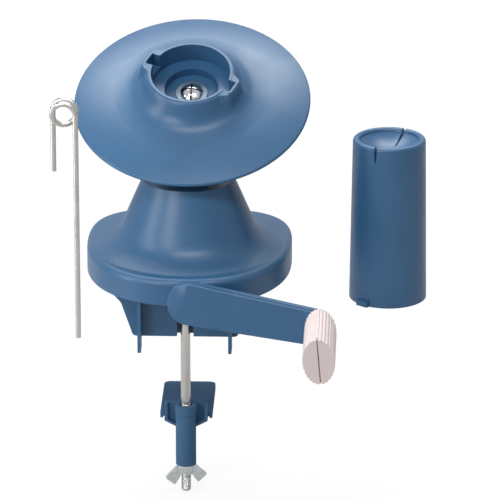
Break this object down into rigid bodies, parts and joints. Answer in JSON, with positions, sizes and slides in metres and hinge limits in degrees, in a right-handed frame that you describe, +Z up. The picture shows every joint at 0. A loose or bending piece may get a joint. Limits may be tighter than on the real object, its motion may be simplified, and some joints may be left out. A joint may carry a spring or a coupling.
{
  "type": "yarn ball winder",
  "caption": "Table-clamped yarn ball winder: tilted disc with spindle socket on a geared rotor, side crank, sliding clamp; spindle and wire guide set apart.",
  "frame": {"origin": "main vertical axis at the plane where the foot box rests on the table top", "axes": "+X to the right seen from the crank side, +Y away from the crank, +Z up"},
  "size_m": [0.2142, 0.2299, 0.2746],
  "materials": {
    "blue_plastic": "fine matte moulded",
    "pink_plastic": "matte moulded",
    "gear_nylon": "natural nylon",
    "steel": "drawn wire and rod",
    "zinc": "bright zinc plated",
    "chrome": "bright plated",
    "bush_bronze": "sintered bronze"
  },
  "bodies": {
    "housing": {"base_housing": "blue_plastic", "foot_housing": "blue_plastic", "housing_screws": "zinc", "clamp_rod": "steel", "rod_pin": "steel", "sun_gear": "gear_nylon", "front_crank_bush": "bush_bronze", "rear_crank_bush": "bush_bronze", "lower_main_bush": "bush_bronze", "upper_main_bush": "bush_bronze"},
    "rotor": {"main_shaft": "steel", "drive_pinion": "gear_nylon", "rotor_head": "blue_plastic", "tilted_axle": "steel", "hub_washer": "chrome", "hub_screw": "chrome"},
    "disc": {"disc": "blue_plastic", "disc_gear": "blue_plastic", "disc_bush": "bush_bronze"},
    "crank": {"crank_arm": "blue_plastic", "crank_shaft": "steel", "crank_gear": "gear_nylon", "gear_clip": "steel", "knob_pin": "steel"},
    "knob": {"knob": "pink_plastic"},
    "jaw": {"clamp_jaw": "blue_plastic"},
    "wing_nut": {"wing_nut": "zinc"},
    "spindle": {"spindle": "blue_plastic"},
    "yarn_guide": {"yarn_guide": "steel"}
  },
  "joints": [
    {"name": "rotor_turn", "type": "hinge", "parent": "housing", "child": "rotor", "pos_m": [0, 0, 0.0787], "axis": [0, 0, 1], "continuous": true},
    {"name": "disc_turn", "type": "hinge", "parent": "rotor", "child": "disc", "pos_m": [0, 0, 0.1787], "axis": [-0.0187, -0.4458, 0.8949], "continuous": true},
    {"name": "crank_turn", "type": "hinge", "parent": "housing", "child": "crank", "pos_m": [0, 0, 0.0306], "axis": [0, 1, 0], "continuous": true},
    {"name": "knob_spin", "type": "hinge", "parent": "crank", "child": "knob", "pos_m": [0.08055, -0.08, 0.01524], "axis": [0, 1, 0], "continuous": true},
    {"name": "jaw_slide", "type": "slide", "parent": "housing", "child": "jaw", "axis": [0, 0, 1], "range_m": [-0.008, 0.038]},
    {"name": "nut_turn", "type": "hinge", "parent": "jaw", "child": "wing_nut", "pos_m": [0, -0.0442, -0.086], "axis": [0, 0, 1], "range_deg": [-2890, 13690]},
    {"name": "spindle_lift", "type": "slide", "parent": "housing", "child": "spindle", "axis": [0, 0, 1], "range_m": [0, 0.12]},
    {"name": "guide_lift", "type": "slide", "parent": "housing", "child": "yarn_guide", "axis": [0, 0, 1], "range_m": [0, 0.12]}
  ],
  "couplings": [
    {"joint": "disc_turn", "follows": "rotor_turn", "ratio": -0.30769},
    {"joint": "crank_turn", "follows": "rotor_turn", "ratio": 0.25},
    {"joint": "nut_turn", "follows": "jaw_slide", "rad_per_m": 6283.2}
  ]
}
